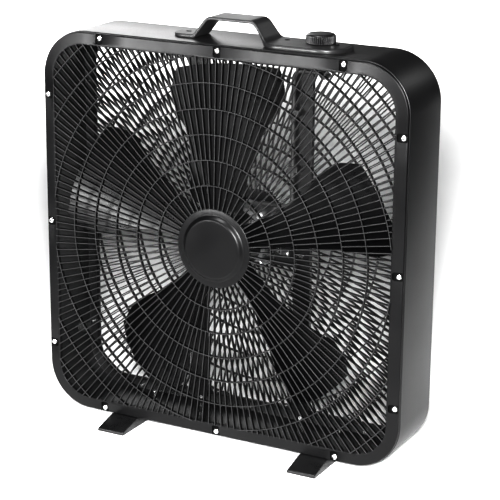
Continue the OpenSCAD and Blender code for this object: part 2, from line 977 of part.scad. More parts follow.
module motor_lead() {
    start_x = 18.5;
    y = from_front(lead_y);
    switch_z = band_top - sheet_t - switch_h;
    color("#1a1a1a") {
        translate([start_x, y, lead_z])
            rotate([0, 90, 0])
                lead_run(lead_x - bend_r - start_x);
        translate([lead_x - bend_r, y, lead_z])
            quarter_bend();
        translate([lead_x, y, lead_z + bend_r])
            lead_run(lead_turn_z - lead_z - 2 * bend_r);
        translate([lead_x + bend_r, y, lead_turn_z])
            rotate([0, 180, 0])
                quarter_bend();
        translate([lead_x + bend_r, y, lead_turn_z])
            rotate([0, 90, 0])
                lead_run(knob_x - lead_x - 2 * bend_r);
        translate([knob_x - bend_r, y, lead_turn_z])
            rotate([90, 0, 0])
                quarter_bend();
        translate([knob_x, y - bend_r, lead_turn_z])
            rotate([90, 0, 0])
                lead_run(y - 2 * bend_r);
        translate([knob_x, bend_r, lead_turn_z])
            rotate([0, 0, -90])
                quarter_bend();
        translate([knob_x, 0, lead_turn_z + bend_r])
            lead_run(switch_z - lead_turn_z - bend_r);
    }
}

module lead_clips() {
    clip_h = 8;
    front_d = lead_y - lead_r - 1.5;
    color("#d9d9d4")
        for (z = [axis_z + 90, axis_z + 165])
            difference() {
                translate([lead_x - 5, from_front(front_d), z])
                    cube([14, rail_y - front_d, clip_h]);
                translate([lead_x, from_front(lead_y), z - cut])
                    cylinder(r = lead_r, h = clip_h + 2 * cut, $fn = 24);
            }
}

module cord_inlet() {
    color("#1c1c1e")
        translate([-band_size / 2, inlet_y, inlet_z])
            rotate([0, 90, 0])
                difference() {
                    union() {
                        translate([0, 0, -1.5])
                            cylinder(r = 9.5, h = 1.5, $fn = 48);
                        cylinder(r = inlet_r, h = 13, $fn = 48);
                        translate([0, 0, sheet_t])
                            cylinder(r = inlet_r + 1, h = 2.5, $fn = 48);
                    }
                    translate([0, 0, -3])
                        cylinder(r = inlet_bore_r, h = 20, $fn = 48);
                }
}

housing_shell();
front_grille();
rear_grille();
front_screws();
rear_screws();
handle();
handle_screws();
knob();
switch_spindle();
switch_body();
switch_nut();
switch_terminals();
left_foot();
right_foot();
foot_screws();
left_rail();
right_rail();
rail_screws();
motor_plate();
plate_screws();
motor_front_bell();
motor_rear_bell();
stator_core();
stator_windings();
motor_rotor();
motor_shaft();
front_bearing();
rear_bearing();
thrust_washers();
through_bolts();
bolt_nuts();
fan_blade();
blade_nut();
capacitor();
capacitor_clip();
motor_lead();
lead_clips();
cord_inlet();
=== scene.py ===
"""Looks of a 20-inch box fan: dressed pieces, materials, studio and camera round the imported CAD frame."""

import json
import math

import bmesh
import bpy
import numpy as np
from mathutils import Matrix, Vector


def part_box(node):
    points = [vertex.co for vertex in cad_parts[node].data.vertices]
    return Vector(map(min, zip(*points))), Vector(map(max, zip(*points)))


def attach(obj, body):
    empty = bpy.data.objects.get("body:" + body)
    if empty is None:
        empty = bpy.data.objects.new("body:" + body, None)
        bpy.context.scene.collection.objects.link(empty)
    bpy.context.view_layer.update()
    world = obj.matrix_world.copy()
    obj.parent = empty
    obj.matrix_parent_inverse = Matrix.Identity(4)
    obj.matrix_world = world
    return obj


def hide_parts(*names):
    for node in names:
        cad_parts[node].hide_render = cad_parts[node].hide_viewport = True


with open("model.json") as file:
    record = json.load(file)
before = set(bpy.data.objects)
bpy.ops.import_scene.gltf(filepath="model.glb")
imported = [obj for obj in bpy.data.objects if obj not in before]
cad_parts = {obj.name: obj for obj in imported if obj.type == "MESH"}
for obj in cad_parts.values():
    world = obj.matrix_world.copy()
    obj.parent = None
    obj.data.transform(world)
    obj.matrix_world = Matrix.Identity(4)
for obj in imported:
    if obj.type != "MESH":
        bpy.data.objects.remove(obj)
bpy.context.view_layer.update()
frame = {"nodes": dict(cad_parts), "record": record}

# ---------------------------------------------------------------- measures
# Lengths are in millimetres and depths are measured back from the front rim's face.
MM = 0.001
shell_low, shell_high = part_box("housing_shell")
AXIS_Z = (shell_low.z + shell_high.z) / 2 / MM
BAND = (shell_high.x - shell_low.x) / MM
BODY_DEPTH = 105.0
FRONT_Y = (shell_low.y + shell_high.y) / 2 / MM - BODY_DEPTH / 2 - 1.5
TOP = shell_high.z / MM
FRAME_HALF = BAND / 2 - 1.0
FRAME_R = 62.0
OPEN_HALF = FRAME_HALF - 16.5
OPEN_R = 46.0
RING_R = [82.8 + 33.2 * i for i in range(8)]
ZONE_R = [52.0, 82.8, 116.0, 182.4, 248.8]
ZONE_RIBS = [54, 74, 118, 160, 208]
BAR_W = 1.6
BAR_D = 5.0
SCREW_AT = FRAME_HALF - 5.6
SCREW_PITCH = 174.5


def circle(n):
    """Angles of n equal steps round a circle, in radians."""
    return np.arange(n) * 2 * math.pi / n


def proud(r):
    """How far the grille's face stands in front of the rim at radius r."""
    return 2.5 + 4.0 * (OPEN_HALF - r) / (OPEN_HALF - 53.0)


def reach(a):
    """Distance from the axis to the opening's edge at angle a from straight up."""
    straight = OPEN_HALF - OPEN_R
    s, c = abs(math.sin(a)), abs(math.cos(a))
    big, small = max(s, c), min(s, c)
    if OPEN_HALF * small / big <= straight:
        return OPEN_HALF / big
    mid = straight * (big + small)
    return mid + math.sqrt(mid * mid - 2 * straight**2 + OPEN_R**2)


# ---------------------------------------------------------------- meshes
class Build:
    """Collects points in millimetres and faces, then makes one mesh object in metres."""

    def __init__(self):
        self.points, self.faces, self.count = [], [], 0

    def add(self, points, faces):
        self.points.append(np.asarray(points, float).reshape(-1, 3))
        self.faces += [[i + self.count for i in f] for f in faces]
        self.count += len(self.points[-1])

    def loft(self, rings, closed=False, caps=True):
        """Joins rings of points, each ring closed; closed joins the last ring to the first."""
        rings = np.asarray(rings, float)
        n, m = rings.shape[:2]
        faces = []
        for i in range(n if closed else n - 1):
            a, b = i * m, ((i + 1) % n) * m
            for j in range(m):
                k = (j + 1) % m
                faces.append([a + j, a + k, b + k, b + j])
        if caps and not closed:
            faces.append(list(range(m))[::-1])
            faces.append([(n - 1) * m + j for j in range(m)])
        self.add(rings, faces)

    def make(self, name, sharp=35):
        """The mesh object, shaded smooth up to the angle in degrees."""
        mesh = bpy.data.meshes.new(name)
        points = np.concatenate(self.points) * MM
        mesh.from_pydata(points.tolist(), [], self.faces)
        mesh.validate()
        obj = bpy.data.objects.new(name, mesh)
        bpy.context.scene.collection.objects.link(obj)
        face_out(obj)
        shade(obj, sharp)
        return obj


def face_out(obj):
    """Turns every face outwards."""
    work = bmesh.new()
    work.from_mesh(obj.data)
    bmesh.ops.remove_doubles(work, verts=work.verts, dist=1e-6)
    bmesh.ops.recalc_face_normals(work, faces=work.faces)
    work.to_mesh(obj.data)
    work.free()


def shade(obj, sharp=35):
    """Smooth shading, except over edges sharper than the angle in degrees."""
    mesh = obj.data
    mesh.shade_smooth()
    mesh.set_sharp_from_angle(angle=math.radians(sharp))


def bake(obj):
    """Applies the object's modifiers."""
    graph = bpy.context.evaluated_depsgraph_get()
    mesh = bpy.data.meshes.new_from_object(obj.evaluated_get(graph))
    obj.modifiers.clear()
    obj.data = mesh


def carve(obj, cutter):
    """Takes the cutter's solid away from obj and removes the cutter."""
    cut = obj.modifiers.new("cut", "BOOLEAN")
    cut.operation, cut.solver, cut.object = "DIFFERENCE", "EXACT", cutter
    cut.material_mode = "TRANSFER"
    bake(obj)
    bpy.data.objects.remove(cutter)


def soften(obj, width, angle):
    """Rounds the edges that are sharper than the angle in degrees."""
    bevel = obj.modifiers.new("soft", "BEVEL")
    bevel.width, bevel.segments = width * MM, 2
    bevel.limit_method, bevel.angle_limit = "ANGLE", math.radians(angle)
    bevel.use_clamp_overlap = True
    bevel.miter_outer = "MITER_ARC"
    bake(obj)
    shade(obj)


def wear(obj, node, body, material):
    """Gives a new piece its material, hides the CAD node it stands for and hangs the piece under its body's
    empty.
    """
    if obj.data.materials:
        obj.data.materials[0] = material
    else:
        obj.data.materials.append(material)
    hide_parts(node)
    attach(obj, body)


def arc(centre, r, a0, a1, n):
    """Points of an arc, angles in degrees."""
    t = np.radians(np.linspace(a0, a1, n))
    return np.stack([centre[0] + r * np.cos(t), centre[1] + r * np.sin(t)], 1)


def square_path(half, r, n):
    """Rounded square as corner centres and outward directions, so that it can be offset."""
    centres, outs = [], []
    side_steps = 6
    c = half - r
    for k in range(4):
        a0 = math.pi / 2 * k
        sx, sz = (1, 1, -1, -1)[k], (1, -1, -1, 1)[k]
        for i in range(n):
            a = a0 + math.pi / 2 * i / (n - 1)
            centres.append((sx * c, sz * c))
            outs.append((math.sin(a), math.cos(a)))
        nx, nz = (1, -1, -1, 1)[k], (-1, -1, 1, 1)[k]
        a = a0 + math.pi / 2
        for i in range(1, side_steps):
            t = i / side_steps
            centres.append((sx * c + (nx * c - sx * c) * t, sz * c + (nz * c - sz * c) * t))
            outs.append((math.sin(a), math.cos(a)))
    return np.array(centres), np.array(outs)


def sweep_square(build, half, r, profile, flip=False, n=26):
    """Sweeps a closed profile of (inset, depth) round a rounded square."""
    centres, outs = square_path(half, r, n)
    rings = []
    for c, o in zip(centres, outs):
        ring = []
        for inset, d in profile:
            xz = c + o * (r - inset)
            ring.append((xz[0], place_depth(d, flip), AXIS_Z + xz[1]))
        rings.append(ring)
    build.loft(rings, closed=True)


def place_depth(d, flip=False):
    """Depth behind the front face as a Y coordinate; flip mirrors front to back."""
    return FRONT_Y + (BODY_DEPTH - d if flip else d)


def lathe_y(build, profile, n, flip=False):
    """Turns a profile of (radius, depth) about the fan's axis. It starts and ends on that axis."""
    angles = circle(n)
    points, faces = [], []
    rows = profile[1:-1]
    for r, d in rows:
        for a in angles:
            points.append((r * math.sin(a), place_depth(d, flip), AXIS_Z + r * math.cos(a)))
    first, last = len(points), len(points) + 1
    points.append((0.0, place_depth(profile[0][1], flip), AXIS_Z))
    points.append((0.0, place_depth(profile[-1][1], flip), AXIS_Z))
    for i in range(len(rows) - 1):
        for j in range(n):
            k = (j + 1) % n
            faces.append([i * n + j, i * n + k, (i + 1) * n + k, (i + 1) * n + j])
    for j in range(n):
        k = (j + 1) % n
        faces.append([first, k, j])
        faces.append([last, (len(rows) - 1) * n + j, (len(rows) - 1) * n + k])
    build.add(points, faces)


# ---------------------------------------------------------------- materials
def nodes_of(name):
    """A new material with its node tree and shader."""
    mat = bpy.data.materials.new(name)
    mat.use_nodes = True
    tree = mat.node_tree
    shader = tree.nodes["Principled BSDF"]
    return mat, tree, shader


def noise(tree, place, scale, detail=4.0, rough=0.55):
    n = tree.nodes.new("ShaderNodeTexNoise")
    n.inputs["Scale"].default_value = scale
    n.inputs["Detail"].default_value = detail
    n.inputs["Roughness"].default_value = rough
    tree.links.new(place, n.inputs["Vector"])
    return n.outputs["Fac"]


def remap(tree, value, low, high, to_low, to_high):
    n = tree.nodes.new("ShaderNodeMapRange")
    n.inputs["From Min"].default_value = low
    n.inputs["From Max"].default_value = high
    n.inputs["To Min"].default_value = to_low
    n.inputs["To Max"].default_value = to_high
    tree.links.new(value, n.inputs["Value"])
    return n.outputs["Result"]


def mixed(tree, factor, a, b):
    """Blend of two colours, each a socket or a plain (r, g, b)."""
    n = tree.nodes.new("ShaderNodeMix")
    n.data_type = "RGBA"
    tree.links.new(factor, n.inputs["Factor"])
    for socket, value in ((n.inputs["A"], a), (n.inputs["B"], b)):
        if isinstance(value, tuple):
            socket.default_value = (*value, 1.0)
        else:
            tree.links.new(value, socket)
    return n.outputs["Result"]


def sums(tree, op, a, b):
    """Result of a math node on two values, each a socket or a number."""
    n = tree.nodes.new("ShaderNodeMath")
    n.operation = op
    for socket, value in ((n.inputs[0], a), (n.inputs[1], b)):
        if isinstance(value, (int, float)):
            socket.default_value = value
        else:
            tree.links.new(value, socket)
    return n.outputs[0]


def where(tree, scale=(1.0, 1.0, 1.0)):
    """Object coordinates, stretched by the scale."""
    coords = tree.nodes.new("ShaderNodeTexCoord")
    stretch = tree.nodes.new("ShaderNodeMapping")
    stretch.inputs["Scale"].default_value = scale
    tree.links.new(coords.outputs["Object"], stretch.inputs["Vector"])
    return stretch.outputs["Vector"]


DUST = (0.085, 0.083, 0.080)


def finish_for(name, dark, light, rough, metal=0.0, grain=900.0, bump=0.25, bump_size=0.06, swirl=7.0,
               spread=0.06, speck=0.0, brushed=None, specular=0.5, sheen_light=None, painted_front_highlight=None):
    """A procedural finish: colour clouds, fine grain in bump and roughness, faint specks and scuffs.

    The last argument is the colour of a painted highlight: faces that look forwards or backwards are mixed
    towards it, patchy by the noise."""
    mat, tree, shader = nodes_of(name)
    spot = where(tree)
    fine_at = where(tree, brushed) if brushed else spot
    cloud = noise(tree, spot, swirl, 5.0, 0.6)
    fine = noise(tree, fine_at, grain, 3.0, 0.6)
    scuff_at = where(tree, (1.0, 1.0, 3.5))
    scuff_and_highlight_noise = noise(tree, scuff_at, 38.0, 8.0, 0.68)
    scuffed = remap(tree, scuff_and_highlight_noise, 0.60, 0.78, 0.0, 1.0)
    tone = mixed(tree, remap(tree, cloud, 0.35, 0.65, 0.0, 1.0), dark, light)
    tone = mixed(tree, remap(tree, fine, 0.3, 0.7, 0.0, 0.35), tone, light)
    if speck:
        cells = tree.nodes.new("ShaderNodeTexVoronoi")
        cells.inputs["Scale"].default_value = 260.0
        tree.links.new(spot, cells.inputs["Vector"])
        dust = remap(tree, cells.outputs["Distance"], 0.04, 0.10, speck, 0.0)
        tone = mixed(tree, dust, tone, DUST)
    if sheen_light:
        tone = mixed(tree, sums(tree, "MULTIPLY", scuffed, 0.5), tone, sheen_light)
    # painted highlight: faces that look forwards or backwards turn towards a lighter colour
    if painted_front_highlight:
        shape = tree.nodes.new("ShaderNodeNewGeometry")
        axes = tree.nodes.new("ShaderNodeSeparateXYZ")
        tree.links.new(shape.outputs["Normal"], axes.inputs["Vector"])
        squared = sums(tree, "MULTIPLY", axes.outputs["Y"], axes.outputs["Y"])
        facing = remap(tree, squared, 0.45, 0.95, 0.0, 1.0)
        highlight_patchiness = remap(tree, scuff_and_highlight_noise, 0.30, 0.65, 0.55, 1.0)
        tone = mixed(tree, sums(tree, "MULTIPLY", facing, highlight_patchiness), tone, painted_front_highlight)
    tree.links.new(tone, shader.inputs["Base Color"])
    gloss = sums(tree, "ADD", remap(tree, cloud, 0.3, 0.7, rough - spread, rough + spread),
                 remap(tree, fine, 0.3, 0.7, -spread * 0.5, spread * 0.5))
    gloss = sums(tree, "ADD", gloss, sums(tree, "MULTIPLY", scuffed, spread))
    tree.links.new(gloss, shader.inputs["Roughness"])
    shader.inputs["Metallic"].default_value = metal
    shader.inputs["Specular IOR Level"].default_value = specular
    dent = tree.nodes.new("ShaderNodeBump")
    dent.inputs["Strength"].default_value = bump
    dent.inputs["Distance"].default_value = bump_size * MM
    tree.links.new(fine, dent.inputs["Height"])
    tree.links.new(dent.outputs["Normal"], shader.inputs["Normal"])
    return mat


# Each finish by its slot: the colours are linear and the other values are what finish_for takes.
FINISHES = {
    "painted_steel": dict(
        dark=(0.0045, 0.0045, 0.0047), light=(0.0075, 0.0075, 0.0078), rough=0.36, specular=0.42,
        grain=650.0, bump=0.22, bump_size=0.05, swirl=5.0, speck=0.10, spread=0.05),
    "grille_plastic": dict(
        dark=(0.0020, 0.0020, 0.0022), light=(0.0036, 0.0036, 0.0038), rough=0.36, specular=0.20,
        grain=1100.0, bump=0.30, bump_size=0.05, swirl=9.0, speck=0.05, sheen_light=(0.007, 0.007, 0.0073)),
    # painted shade and highlight: the bars are the grille's own plastic, made darker so that their sides look
    # shaded, with a painted highlight on the faces that look forwards or backwards
    "grille_bars_painted_shade_and_highlight": dict(
        dark=(0.0008, 0.0008, 0.0009), light=(0.0014, 0.0014, 0.0015), rough=0.40, specular=0.16,
        grain=1100.0, bump=0.30, bump_size=0.05, swirl=9.0, painted_front_highlight=(0.030, 0.030, 0.0305)),
    "pocket_shade": dict(
        dark=(0.0006, 0.0006, 0.0006), light=(0.0010, 0.0010, 0.0010), rough=0.6, specular=0.06,
        grain=1100.0, bump=0.30, bump_size=0.05, swirl=9.0),
    "handle_plastic": dict(
        dark=(0.0100, 0.0100, 0.0103), light=(0.0160, 0.0160, 0.0163), rough=0.40, specular=0.50,
        grain=1300.0, bump=0.35, bump_size=0.06, swirl=14.0, speck=0.12,
        sheen_light=(0.022, 0.022, 0.0225)),
    "knob_plastic": dict(
        dark=(0.004, 0.004, 0.0042), light=(0.007, 0.007, 0.0073), rough=0.34, specular=0.42, grain=1500.0,
        bump=0.3, bump_size=0.05, swirl=30.0, speck=0.10),
    "foot_plastic": dict(
        dark=(0.0040, 0.0040, 0.0042), light=(0.0070, 0.0070, 0.0073), rough=0.30, specular=0.46,
        grain=1200.0, bump=0.4, bump_size=0.07, swirl=20.0, speck=0.15, sheen_light=(0.012, 0.012, 0.012)),
    "blade_plastic": dict(
        dark=(0.0012, 0.0012, 0.0014), light=(0.0022, 0.0022, 0.0024), rough=0.30, specular=0.22,
        grain=700.0, bump=0.2, bump_size=0.05, swirl=8.0, speck=0.05),
    "zinc_screw": dict(
        dark=(0.62, 0.63, 0.64), light=(0.80, 0.80, 0.79), rough=0.24, metal=1.0, grain=2200.0, bump=0.2,
        bump_size=0.03, swirl=160.0),
    "black_screw": dict(
        dark=(0.0022, 0.0022, 0.0023), light=(0.0034, 0.0034, 0.0035), rough=0.5, specular=0.15,
        grain=2000.0, bump=0.25, bump_size=0.03, swirl=160.0),
    "rail_steel": dict(
        dark=(0.004, 0.004, 0.0042), light=(0.008, 0.008, 0.0082), rough=0.38, specular=0.3, grain=650.0,
        bump=0.25, bump_size=0.05, swirl=9.0, speck=0.12),
    "cast_aluminium": dict(
        dark=(0.33, 0.33, 0.335), light=(0.46, 0.46, 0.465), rough=0.46, metal=1.0, grain=520.0, bump=0.5,
        bump_size=0.12, swirl=40.0, spread=0.09),
    "lamination_steel": dict(
        dark=(0.20, 0.20, 0.21), light=(0.33, 0.33, 0.34), rough=0.38, metal=1.0, grain=60.0, bump=0.5,
        bump_size=0.10, swirl=25.0, brushed=(1.0, 32.0, 1.0)),
    "enamelled_copper": dict(
        dark=(0.42, 0.13, 0.045), light=(0.60, 0.22, 0.08), rough=0.28, metal=0.85, grain=900.0, bump=0.6,
        bump_size=0.15, swirl=60.0, brushed=(1.0, 3.0, 1.0)),
    "ground_steel": dict(
        dark=(0.50, 0.50, 0.51), light=(0.66, 0.66, 0.66), rough=0.20, metal=1.0, grain=300.0, bump=0.25,
        bump_size=0.03, swirl=50.0, brushed=(1.0, 14.0, 1.0)),
    "bronze": dict(
        dark=(0.36, 0.20, 0.08), light=(0.50, 0.30, 0.13), rough=0.36, metal=1.0, grain=1200.0, bump=0.4,
        bump_size=0.05, swirl=60.0),
    "nylon": dict(
        dark=(0.58, 0.56, 0.50), light=(0.70, 0.68, 0.62), rough=0.42, grain=1200.0, bump=0.3,
        bump_size=0.04, swirl=40.0),
    # painted shade: nylon made near black for the lead clips, which are natural nylon, so that they stay as
    # dark as the shade inside the fan
    "nylon_painted_shade": dict(
        dark=(0.006, 0.006, 0.0062), light=(0.010, 0.010, 0.0102), rough=0.42, grain=1200.0, bump=0.3,
        bump_size=0.04, swirl=40.0),
    "switch_plastic": dict(
        dark=(0.018, 0.017, 0.016), light=(0.032, 0.030, 0.028), rough=0.40, grain=900.0, bump=0.35,
        bump_size=0.06, swirl=50.0),
    "brass_tab": dict(
        dark=(0.60, 0.40, 0.14), light=(0.74, 0.54, 0.22), rough=0.26, metal=1.0, grain=900.0, bump=0.3,
        bump_size=0.03, swirl=80.0, brushed=(1.0, 1.0, 9.0)),
    # painted shade: the capacitor case is white plastic, made dark grey here, as dark as the shade inside the
    # fan
    "capacitor_case": dict(
        dark=(0.030, 0.030, 0.032), light=(0.050, 0.050, 0.052), rough=0.34, grain=900.0, bump=0.3,
        bump_size=0.05, swirl=30.0, speck=0.10),
    "lead_sleeve": dict(
        dark=(0.012, 0.012, 0.012), light=(0.022, 0.022, 0.022), rough=0.52, grain=260.0, bump=0.7,
        bump_size=0.20, swirl=60.0, brushed=(3.0, 3.0, 1.0)),
    "inlet_rubber": dict(
        dark=(0.010, 0.010, 0.010), light=(0.018, 0.018, 0.018), rough=0.58, grain=1300.0, bump=0.5,
        bump_size=0.08, swirl=60.0, speck=0.15),
}
MAT = {name: finish_for(name, **look) for name, look in FINISHES.items()}

for entry in frame["record"]["subparts"]:
    obj = frame["nodes"][entry["node"]]
    # the lead clips get the near-black nylon as painted shade; their own nylon is natural and pale
    finish = "nylon_painted_shade" if entry["node"] == "lead_clips" else entry["material_slot"]
    obj.data.materials.clear()
    obj.data.materials.append(MAT[finish])


# ---------------------------------------------------------------- grilles
def rim_profile(thick, bevel, fall):
    """Section of the rim: face falling towards a rounded outer shoulder, softened inner edge."""
    width = FRAME_HALF - OPEN_HALF
    outer = arc((bevel, bevel + fall), bevel, 180, 275, 7)
    inner = arc((width - 0.9, 0.9), 0.9, 268, 360, 5)
    crown = [(inset, fall * (1 - (inset - bevel) / (width - bevel)) ** 1.15)
             for inset in (4.5, 8.0, 12.0)]
    back = [(width, thick), (0.0, thick)]
    return [tuple(p) for p in outer] + crown + [tuple(p) for p in inner] + back


def pocket_cutter(depth, flip):
    """Twelve rounded pockets round the screws."""
    build = Build()
    w, top, length = 5.5, 5.1, 13.5
    low = top - length
    outline = np.concatenate([
        arc((w - 1.5, top - 1.5), 1.5, 0, 90, 5), arc((-w + 1.5, top - 1.5), 1.5, 90, 180, 5),
        arc((-w + 3, low + 3), 3.0, 180, 270, 7), arc((w - 3, low + 3), 3.0, 270, 360, 7)])
    for side in range(4):
        a = side * math.pi / 2
        for place in (-1, 0, 1):
            rings = []
            for d in (-2.0, depth):
                ring = []
                for x, z in outline:
                    x, z = x + place * SCREW_PITCH, z + SCREW_AT
                    ring.append((x * math.cos(a) + z * math.sin(a), place_depth(d, flip),
                                 AXIS_Z + z * math.cos(a) - x * math.sin(a)))
                rings.append(ring)
            build.loft(rings)
    cutter = build.make("pocket_cutter")
    cutter.data.materials.append(MAT["pocket_shade"])
    return cutter


def bar_section(front, back, half=BAR_W / 2):
    """Rounded section of a bar as (across, depth)."""
    return [(-half * 0.86, back), (-half, back - 0.5), (-half, front + 0.55), (-half * 0.72, front + 0.16),
            (-half * 0.3, front), (half * 0.3, front), (half * 0.72, front + 0.16), (half, front + 0.55),
            (half, back - 0.5), (half * 0.86, back)]


def add_ribs(build, flip):
    """Radial ribs, more of them in each zone further out."""
    for zone in range(5):
        count = ZONE_RIBS[zone]
        for i in range(count):
            a = (i + (0.5 if zone == 4 else 0.0)) * 2 * math.pi / count
            edge = reach(a) + 1.2
            r0 = ZONE_R[zone]
            r1 = edge if zone == 4 else min(ZONE_R[zone + 1], edge)
            if r1 - r0 < 2.0:
                continue
            rings = []
            for r in (r0, r1):
                ring = []
                for across, d in bar_section(0.5, BAR_D):
                    x = across * math.cos(a) + r * math.sin(a)
                    z = r * math.cos(a) - across * math.sin(a)
                    ring.append((x, place_depth(d - proud(r), flip), AXIS_Z + z))
                rings.append(ring)
            build.loft(rings)


def add_rings(build, flip):
    """Concentric rings; the big ones are cut to the four corners of the opening."""
    for r in RING_R:
        section = bar_section(0.0, BAR_D)

        def station(a):
            return [((r + across) * math.sin(a), (r + across) * math.cos(a), d - proud(r))
                    for across, d in section]

        if r <= OPEN_HALF:
            spans = [(0.0, 2 * math.pi, True)]
        else:
            fine = np.linspace(0, math.pi / 2, 721)
            inside = [a for a in fine if r <= reach(a) + 1.0]
            quarters = [k * math.pi / 2 for k in range(4)]
            spans = [(inside[0] + q, inside[-1] + q, False) for q in quarters]
        for a0, a1, whole in spans:
            n = 216 if whole else max(8, int((a1 - a0) * r / 7))
            steps = np.linspace(a0, a1, n, endpoint=not whole)
            rings = [[(x, place_depth(d, flip), AXIS_Z + z) for x, z, d in station(a)] for a in steps]
            build.loft(rings, closed=whole)


def hub_profile():
    """Section of the hub plate with its raised, softly shouldered boss."""
    base, boss = -6.5, 5.0
    top = base - boss
    inner, outer = 37.5, 45.5
    shoulder = [(inner + (outer - inner) * u, top + boss * (0.5 - 0.5 * math.cos(math.pi * u)) ** 1.15)
                for u in np.linspace(0, 1, 13)]
    edge = [(51.8, base), (52.5, base + 0.25), (52.9, base + 0.8), (53.0, base + 1.6)]
    face = [(0.0, top), (14.0, top), (28.0, top), (34.0, top)]
    return face + shoulder + edge + [(53.0, base + 3.0), (30.0, base + 3.0), (0.0, base + 3.0)]


def dress_grille(node, thick, bevel, fall, pocket, flip):
    """Rim with its screw pockets, bars and hub plate of one grille."""
    rim = Build()
    sweep_square(rim, FRAME_HALF, FRAME_R, rim_profile(thick, bevel, fall), flip)
    rim_obj = rim.make(node + "_rim")
    rim_obj.data.materials.append(MAT["grille_plastic"])
    carve(rim_obj, pocket_cutter(pocket, flip))
    soften(rim_obj, 0.45, 50)
    bars = Build()
    add_ribs(bars, flip)
    add_rings(bars, flip)
    bars_obj = bars.make(node + "_bars")
    hub = Build()
    lathe_y(hub, hub_profile(), 144, flip)
    hub_obj = hub.make(node + "_hub")
    wear(rim_obj, node, "housing", MAT["grille_plastic"])
    # the bars get the darker painted-shade copy of the grille plastic, with its painted highlight
    wear(bars_obj, node, "housing", MAT["grille_bars_painted_shade_and_highlight"])
    wear(hub_obj, node, "housing", MAT["grille_plastic"])


dress_grille("front_grille", thick=6.0, bevel=1.7, fall=1.75, pocket=3.0, flip=False)
dress_grille("rear_grille", thick=3.0, bevel=1.0, fall=0.8, pocket=1.2, flip=True)


# ---------------------------------------------------------------- housing band
def dress_shell():
    """Steel band, bent inwards into a flange at the front and back."""
    bend, sheet, flange = 1.6, 1.0, 13.0
    front, back = 6.0, 102.0
    outer_front = arc((bend, front + bend), bend, 270, 180, 6)
    outer_back = arc((bend, back - bend), bend, 180, 90, 6)
    inner_back = arc((bend, back - bend), bend - sheet, 90, 180, 4)
    inner_front = arc((bend, front + bend), bend - sheet, 180, 270, 4)
    profile = ([tuple(p) for p in outer_front] + [tuple(p) for p in outer_back]
               + [(flange, back), (flange, back - sheet)] + [tuple(p) for p in inner_back]
               + [tuple(p) for p in inner_front] + [(flange, front + sheet), (flange, front)])
    band = Build()
    sweep_square(band, BAND / 2, FRAME_R + 1.0, profile, n=40)
    obj = band.make("housing_band")
    wear(obj, "housing_shell", "housing", MAT["painted_steel"])


dress_shell()


# ---------------------------------------------------------------- handle
def corner_points(path):
    """Rounds the corners of an open path of (x, z, radius)."""
    out = [np.array(path[0][:2])]
    for i in range(1, len(path) - 1):
        a, b, c = (np.array(path[i + k][:2], float) for k in (-1, 0, 1))
        r = path[i][2]
        u, v = (a - b) / np.linalg.norm(a - b), (c - b) / np.linalg.norm(c - b)
        half = math.acos(np.clip(u @ v, -1, 1)) / 2
        middle = b + (u + v) / np.linalg.norm(u + v) * r / math.sin(half)
        start, end = b + u * r / math.tan(half) - middle, b + v * r / math.tan(half) - middle
        a0 = math.atan2(start[1], start[0])
        turn = math.atan2(start[0] * end[1] - start[1] * end[0], start @ end)
        out += [middle + r * np.array([math.cos(a0 + turn * t), math.sin(a0 + turn * t)])
                for t in np.linspace(0, 1, 13)]
    out.append(np.array(path[-1][:2]))
    return np.array(out)


def along(points, s):
    """Point at each share s of a path's length."""
    steps = np.linalg.norm(np.diff(points, axis=0), axis=1)
    at = np.concatenate([[0], np.cumsum(steps)])
    at /= at[-1]
    return np.stack([np.interp(s, at, points[:, 0]), np.interp(s, at, points[:, 1])], 1)


PAD_END, PLATE_END = -86.0, 161.0
STRAP_HALF, PLATE_REACH = 21.0, 40.0


def handle_edges():
    """Plan of the handle: its front and back edges as (x, distance from the middle)."""
    front = [(PAD_END, 0, 0), (PAD_END, STRAP_HALF, 18), (46, STRAP_HALF, 24), (68, PLATE_REACH, 24),
             (PLATE_END, PLATE_REACH, 28), (PLATE_END, 0, 0)]
    back = [(PAD_END, 0, 0), (PAD_END, STRAP_HALF, 18), (PLATE_END, STRAP_HALF, 18), (PLATE_END, 0, 0)]
    return corner_points(front), corner_points(back)


